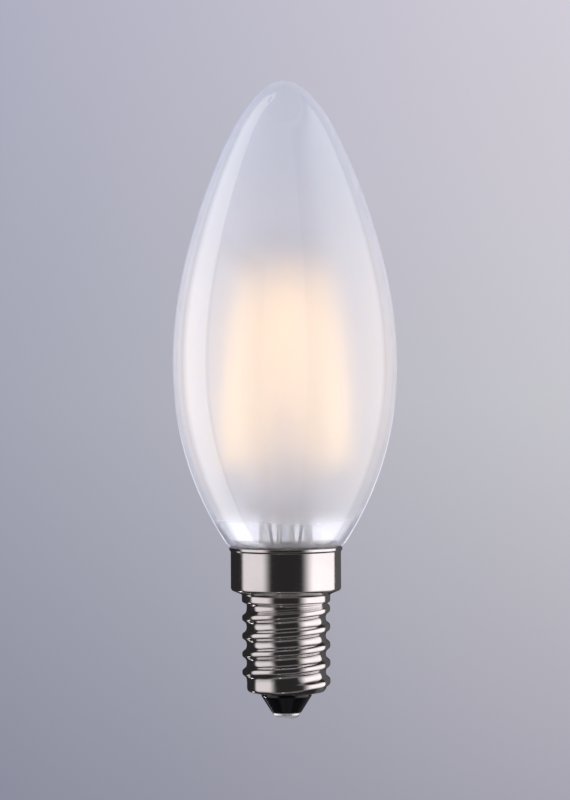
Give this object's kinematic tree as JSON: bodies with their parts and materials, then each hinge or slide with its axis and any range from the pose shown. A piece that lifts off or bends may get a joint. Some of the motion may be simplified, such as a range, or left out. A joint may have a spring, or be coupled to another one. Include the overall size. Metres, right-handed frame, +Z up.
{
  "type": "led candle bulb",
  "caption": "Lit frosted glass candle bulb with glowing filaments, clear neck and a bright nickel screw cap with black insulator.",
  "frame": {"origin": "lowest point of the centre contact's solder, on the lamp's axis", "axes": "+Z up along the lamp's axis from the cap to the glass tip; +X to the right and -Y to the front as pictured"},
  "size_m": [0.035, 0.035, 0.0995],
  "materials": {
    "frosted_glass": "clear glass, gloss outside, satin frosting inside down to the clear neck",
    "clear_glass": "clear, gloss",
    "bright_wire": "bright drawn wire and tab",
    "strip_ceramic": "matt white",
    "phosphor": "warm yellow silicone coat, lit",
    "cap_nickel": "bright nickel plate on pressed brass",
    "black_glass": "black glass, gloss",
    "contact_brass": "dull",
    "solder": "dull silver solder",
    "cement": "matt tan cement",
    "board": "green laminate",
    "chip_plastic": "black moulding",
    "capacitor_sleeve": "dark shrunk sleeve",
    "resistor_body": "green lacquer"
  },
  "bodies": {
    "root": {"glass_envelope": "frosted_glass", "stem_flare": "clear_glass", "exhaust_tube": "clear_glass", "lead_wire_left": "bright_wire", "lead_wire_right": "bright_wire", "lower_bridge_left": "bright_wire", "lower_bridge_right": "bright_wire", "top_bridge": "bright_wire", "filament_1_strip": "strip_ceramic", "filament_1_phosphor": "phosphor", "filament_1_lower_tab": "bright_wire", "filament_1_upper_tab": "bright_wire", "filament_2_strip": "strip_ceramic", "filament_2_phosphor": "phosphor", "filament_2_lower_tab": "bright_wire", "filament_2_upper_tab": "bright_wire", "filament_3_strip": "strip_ceramic", "filament_3_phosphor": "phosphor", "filament_3_lower_tab": "bright_wire", "filament_3_upper_tab": "bright_wire", "filament_4_strip": "strip_ceramic", "filament_4_phosphor": "phosphor", "filament_4_lower_tab": "bright_wire", "filament_4_upper_tab": "bright_wire", "cap_shell": "cap_nickel", "cap_insulator": "black_glass", "contact_eyelet": "contact_brass", "centre_solder": "solder", "cap_cement": "cement", "driver_board": "board", "rectifier_bridge": "chip_plastic", "driver_chip": "chip_plastic", "smoothing_capacitor": "capacitor_sleeve", "fusible_resistor": "resistor_body", "chip_resistor_left": "chip_plastic", "chip_resistor_right": "chip_plastic", "live_wire": "bright_wire", "neutral_wire": "bright_wire"}
  },
  "joints": []
}
